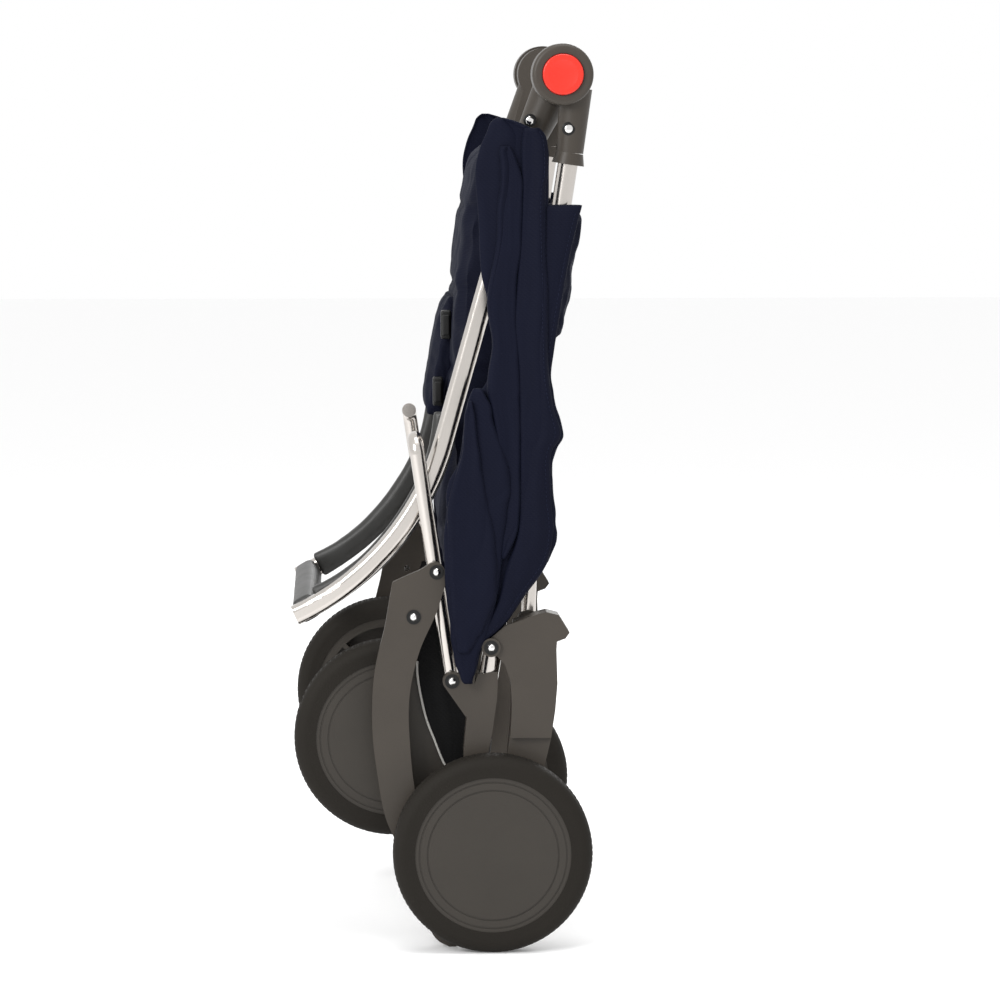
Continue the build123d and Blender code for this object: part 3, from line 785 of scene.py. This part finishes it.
@dataclass
class BasketSide:
    """Black basket cloth beside the front wheel, with its light piping."""

    side: Side
    axle_x: float
    edges: Sequence[tuple[float, float, float]] = (
        (0.328, -0.060, -0.047), (0.300, -0.066, -0.040), (0.266, -0.071, -0.033), (0.224, -0.064, -0.020),
        (0.196, -0.054, -0.015), (0.176, -0.046, -0.016), (0.163, -0.038, -0.018))
    gap: float = 0.0004
    piping_radius: float = 0.0011
    piping_out: float = 0.0014
    piping_top: float = 0.3
    piping_steps: int = 40

    def build(self, finishes: Finishes) -> None:
        """Make the cloth and the piping along its front edge."""
        label = self.side.label
        low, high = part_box(f"basket_side_{label}")
        reach = min(abs(low.y), abs(high.y))
        cloth = FoldedCloth(f"basket_cloth_{label}", self.side, self.edges, reach + self.gap,
                            depth=0.0014, folds=2.0, lean=0.8, seed=3.3, thickness=0.0008, rows=90,
                            columns=40, origin=(self.axle_x, 0.0, 0.0))
        piece = cloth.build(finishes.lining)
        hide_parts(f"basket_side_{label}")
        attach(piece, "main_frame")
        length = self.edges[0][0] - self.edges[-1][0]
        cloth_area(piece) / length
        path = []
        for step in range(self.piping_steps + 1):
            share = self.piping_top + (1 - self.piping_top) * step / self.piping_steps
            z, front, _ = stations(self.edges, share)
            path.append(Vector((self.axle_x + front, self.side.value * (reach + self.piping_out), z)))
        mesh = tube_mesh("piping", path, self.piping_radius)
        piping = new_piece(f"basket_piping_{label}", mesh, finishes.piping)
        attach(piping, "main_frame")
        log.info("basket side %s", label)


@dataclass
class Padding:
    """Every stuffed piece: seat bundle, canopy fold, harness pad and the grips."""

    plan: Sequence[tuple[PaddedPiece, str, str]] = field(default_factory=lambda: [
        (PaddedPiece("seat_bundle", "seat_padding", 0.006, 4.0, 0.010, 0.004, 0.5, 0.003, 2, 5, 0.006),
         "main_frame", "navy_fabric"),
        (PaddedPiece("canopy_fold", "canopy_bundle", 0.004, 4.0, 0.005, 0.0012, 0.3, 0.0035, 1, 3, 0.003),
         "main_frame", "navy_fabric"),
        (PaddedPiece("harness_pad", "harness_padding", 0.0035, 4.0, 0.005, 0.001, 0.6, 0.001, 1, 2, 0.003),
         "main_frame", "navy_fabric"),
        (PaddedPiece("grip_bar", "grip_bar_cover", 0.004, 4.0, 0.003, 0.0008, 0.8, 0.0002),
         "handle", "grip_leather"),
        (PaddedPiece("grip_pad_near", "grip_cover_near", 0.003, 4.0, 0.002, 0.0006, 0.8, 0.0002),
         "handle", "grip_leather"),
        (PaddedPiece("grip_pad_far", "grip_cover_far", 0.003, 4.0, 0.002, 0.0006, 0.8, 0.0002),
         "handle", "grip_leather"),
    ])

    def build(self, frame: dict, finishes: Finishes) -> None:
        """Swell each piece and put it in its node's place."""
        for padded, body, slot in self.plan:
            piece = padded.build(frame, finishes.by_slot[slot])
            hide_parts(padded.node)
            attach(piece, body)
            log.info("%s has %d faces", piece.name, len(piece.data.polygons))


@dataclass
class Harness:
    """Buckles and strap ends beside the harness pad."""

    buckle: Point = (0.010, 0.016, 0.028)
    bevel: float = 0.0022

    def build(self, finishes: Finishes) -> None:
        """Make two buckles, each a body with a side release and a strap end."""
        low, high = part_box("harness_pad")
        for index, (share, lean) in enumerate(((0.76, 0.62), (0.22, 0.38))):
            z = low.z + (high.z - low.z) * share
            x = low.x + (high.x - low.x) * lean
            y = low.y - 0.012
            half = [size / 2 for size in self.buckle]
            body = soft_block(f"buckle_body_{index + 1}", (x - half[0], y - half[1], z - half[2]),
                              (x + half[0], y + half[1], z + half[2]), self.bevel, finishes.black)
            prong = soft_block(f"buckle_prong_{index + 1}", (x - 0.0035, y - 0.012, z - 0.010),
                               (x + 0.0035, y + 0.006, z + 0.010), 0.0015, finishes.black)
            for piece in (body, prong):
                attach(piece, "main_frame")
        log.info("harness buckles")


@dataclass
class Wheels:
    """Tread ribs moulded round each tyre."""

    inset: float = 0.0002
    half_width: float = 0.007
    steps: int = 180
    spacing: float = 0.0062
    rib_length: float = 0.0042
    rib_radius: float = 0.0005
    rib_sides: int = 5

    def build(self, finishes: Finishes, repeater: PathRepeater) -> None:
        """Set thin ribs round the tread of every wheel."""
        for place in ("rear", "front"):
            for side in Side:
                low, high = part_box(f"{place}_tyre_{side.label}")
                centre = (low + high) / 2
                radius = (high.z - low.z) / 2 - self.inset
                turns = [2 * math.pi * step / self.steps for step in range(self.steps + 1)]
                paths = [[Vector((centre.x + radius * math.cos(turn), centre.y + shift,
                                  centre.z + radius * math.sin(turn))) for turn in turns]
                         for shift in (-self.half_width, 0.0, self.half_width)]
                ribs = repeater.along(f"{place}_tread_ribs_{side.label}", paths, finishes.tyre,
                                      self.spacing, self.rib_length, self.rib_radius, self.rib_sides)
                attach(ribs, f"{place}_wheel_{side.label}")
        log.info("tread ribs")


@dataclass
class HingeScrews:
    """Domed screws on the tube socket and on the handle arm's housing."""

    socket: tuple[float, float] = (0.0725, 0.783)
    arm: tuple[float, float] = (0.0370, 0.7905)
    socket_face: float = 0.2134
    arm_face: float = 0.1882
    radius: float = 0.0042
    proud: float = 0.0016
    ring_share: float = 1.5
    ring_height: float = 0.0008
    lift: float = 0.0002

    def screw(self, name: str, x: float, z: float, face: float, side: Side, finishes: Finishes,
              body: str) -> None:
        """Make one screw: a dark recessed ring and a steel dome.

        Args:
            name: start of the pieces' names.
            x: its place along X.
            z: its height.
            face: distance of the surface it stands on from the middle plane.
            side: its side.
            finishes: the finishes.
            body: the body it rides on.
        """
        rings = (("ring", self.radius * self.ring_share, self.ring_height, finishes.black, "black_plastic"),
                 ("dome", self.radius, self.proud, finishes.steel, "steel"))
        for label, radius, height, finish, slot in rings:
            work = bmesh.new()
            bmesh.ops.create_uvsphere(work, u_segments=32, v_segments=16, radius=1.0)
            for vertex in work.verts:
                y = side.value * (face + self.lift) + vertex.co.y * height
                vertex.co = Vector((x + vertex.co.x * radius, y, z + vertex.co.z * radius))
            mesh = bpy.data.meshes.new(f"{name}_{label}_{side.label}")
            work.to_mesh(mesh)
            work.free()
            piece = new_piece(mesh.name, mesh, finish)
            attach(piece, body)

    def build(self, axle_x: float, finishes: Finishes) -> None:
        """Set the screws on both sides."""
        for side in Side:
            self.screw("socket_screw", axle_x + self.socket[0], self.socket[1], self.socket_face, side,
                       finishes, "main_frame")
            self.screw("arm_screw", axle_x + self.arm[0], self.arm[1], self.arm_face, side,
                       finishes, "handle")
        log.info("hinge screws")


# ---------------------------------------------------------------- studio


@dataclass(frozen=True)
class Studio:
    """Pale floor, soft lights and the camera."""

    axle_x: float
    eye: Point = (-0.144, -4.35, 0.834)
    yaw: float = 2.1
    pitch: float = 5.56
    lens: float = 157.4

    def camera(self) -> None:
        """Set the camera beside the near wheel, slightly ahead of it and level with the hinge."""
        data = bpy.data.cameras.new("camera")
        data.lens = self.lens
        data.sensor_width = 36.0
        data.clip_end = 50.0
        camera = bpy.data.objects.new("camera", data)
        camera.location = (self.eye[0] + self.axle_x, self.eye[1], self.eye[2])
        yaw, pitch = math.radians(self.yaw), math.radians(self.pitch)
        aim = Vector((math.sin(yaw) * math.cos(pitch), math.cos(yaw) * math.cos(pitch), -math.sin(pitch)))
        camera.rotation_euler = aim.to_track_quat("-Z", "Y").to_euler()
        bpy.context.scene.collection.objects.link(camera)
        bpy.context.scene.camera = camera

    def light(self, name: str, where: Point, size: float, power: float) -> None:
        """Add a soft square light that faces the stroller."""
        data = bpy.data.lights.new(name, "AREA")
        data.shape = "SQUARE"
        data.size = size
        data.energy = power
        lamp = bpy.data.objects.new(name, data)
        lamp.location = where
        lamp.rotation_euler = (Vector((0, 0, 0.45)) - Vector(where)).to_track_quat("-Z", "Y").to_euler()
        bpy.context.scene.collection.objects.link(lamp)

    def build(self) -> None:
        """Make the floor, the sky and the lights."""
        self.camera()
        shader = Shader("pale_floor")
        shader.set(Base_Color=(0.86, 0.86, 0.86, 1.0), Roughness=0.9, Specular_IOR_Level=0.1,
                   Emission_Color=(1.0, 1.0, 1.0, 1.0), Emission_Strength=0.1)
        work = bmesh.new()
        bmesh.ops.create_grid(work, x_segments=2, y_segments=2, size=12.0)
        mesh = bpy.data.meshes.new("floor")
        work.to_mesh(mesh)
        work.free()
        new_piece("floor", mesh, shader.material, False)
        world = bpy.data.worlds.new("sky")
        world.use_nodes = True
        world.node_tree.nodes["Background"].inputs[0].default_value = (1.0, 1.0, 1.0, 1.0)
        world.node_tree.nodes["Background"].inputs[1].default_value = 1.0
        bpy.context.scene.world = world
        self.light("key", (-1.8, -2.4, 1.9), 1.2, 62.0)
        self.light("top", (0.2, -0.6, 2.8), 1.4, 26.0)
        self.light("rim", (1.0, 2.4, 1.9), 1.4, 30.0)
        bpy.context.scene.view_settings.view_transform = "Standard"


def main() -> None:
    """Build every sub-assembly in order."""
    logging.basicConfig(level=logging.INFO)
    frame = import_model()
    low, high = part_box("rear_tyre_near")
    axle_x = (low.x + high.x) / 2
    Studio(axle_x).build()
    finishes = Finishes()
    finishes.dress_frame(frame)
    repeater = PathRepeater()
    for side in Side:
        SideCloth(side, axle_x).build(finishes, repeater)
        BasketSide(side, axle_x).build(finishes)
    Padding().build(frame, finishes)
    Harness().build(finishes)
    HingeScrews().build(axle_x, finishes)
    Wheels().build(finishes, repeater)


if __name__ == "__main__":
    main()
